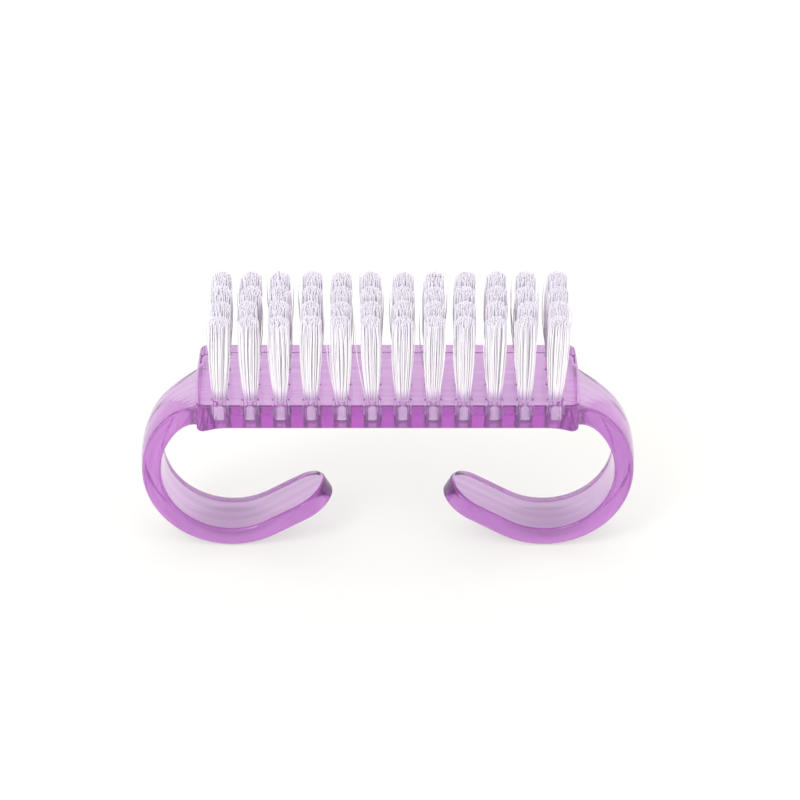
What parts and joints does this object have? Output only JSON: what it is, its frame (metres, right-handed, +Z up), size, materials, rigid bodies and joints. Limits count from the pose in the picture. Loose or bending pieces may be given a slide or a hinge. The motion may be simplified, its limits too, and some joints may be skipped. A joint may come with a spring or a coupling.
{
  "type": "nail brush",
  "caption": "Clear purple nail brush: a slim moulded block with rows of soft nylon tufts, and a curled finger loop at each end that doubles as its stand.",
  "frame": {"origin": "middle of the surface that the brush stands on, under the centre of the block", "axes": "+X along the block, +Y across it, away from the side that faces the camera in the picture, +Z up through the bristles"},
  "size_m": [0.066, 0.0154, 0.0373],
  "materials": {
    "clear_purple_plastic": "clear tinted moulding, polished",
    "bristle_nylon": "translucent white filaments",
    "anchor_wire": "drawn flat wire"
  },
  "bodies": {
    "root": {"handle_moulding": "clear_purple_plastic", "tuft_row1_col01": "bristle_nylon", "tuft_row1_col02": "bristle_nylon", "tuft_row1_col03": "bristle_nylon", "tuft_row1_col04": "bristle_nylon", "tuft_row1_col05": "bristle_nylon", "tuft_row1_col06": "bristle_nylon", "tuft_row1_col07": "bristle_nylon", "tuft_row1_col08": "bristle_nylon", "tuft_row1_col09": "bristle_nylon", "tuft_row1_col10": "bristle_nylon", "tuft_row1_col11": "bristle_nylon", "tuft_row1_col12": "bristle_nylon", "anchors_row1": "anchor_wire", "tuft_row2_col01": "bristle_nylon", "tuft_row2_col02": "bristle_nylon", "tuft_row2_col03": "bristle_nylon", "tuft_row2_col04": "bristle_nylon", "tuft_row2_col05": "bristle_nylon", "tuft_row2_col06": "bristle_nylon", "tuft_row2_col07": "bristle_nylon", "tuft_row2_col08": "bristle_nylon", "tuft_row2_col09": "bristle_nylon", "tuft_row2_col10": "bristle_nylon", "tuft_row2_col11": "bristle_nylon", "tuft_row2_col12": "bristle_nylon", "anchors_row2": "anchor_wire", "tuft_row3_col01": "bristle_nylon", "tuft_row3_col02": "bristle_nylon", "tuft_row3_col03": "bristle_nylon", "tuft_row3_col04": "bristle_nylon", "tuft_row3_col05": "bristle_nylon", "tuft_row3_col06": "bristle_nylon", "tuft_row3_col07": "bristle_nylon", "tuft_row3_col08": "bristle_nylon", "tuft_row3_col09": "bristle_nylon", "tuft_row3_col10": "bristle_nylon", "tuft_row3_col11": "bristle_nylon", "tuft_row3_col12": "bristle_nylon", "anchors_row3": "anchor_wire", "tuft_row4_col01": "bristle_nylon", "tuft_row4_col02": "bristle_nylon", "tuft_row4_col03": "bristle_nylon", "tuft_row4_col04": "bristle_nylon", "tuft_row4_col05": "bristle_nylon", "tuft_row4_col06": "bristle_nylon", "tuft_row4_col07": "bristle_nylon", "tuft_row4_col08": "bristle_nylon", "tuft_row4_col09": "bristle_nylon", "tuft_row4_col10": "bristle_nylon", "tuft_row4_col11": "bristle_nylon", "tuft_row4_col12": "bristle_nylon", "anchors_row4": "anchor_wire"}
  },
  "joints": []
}
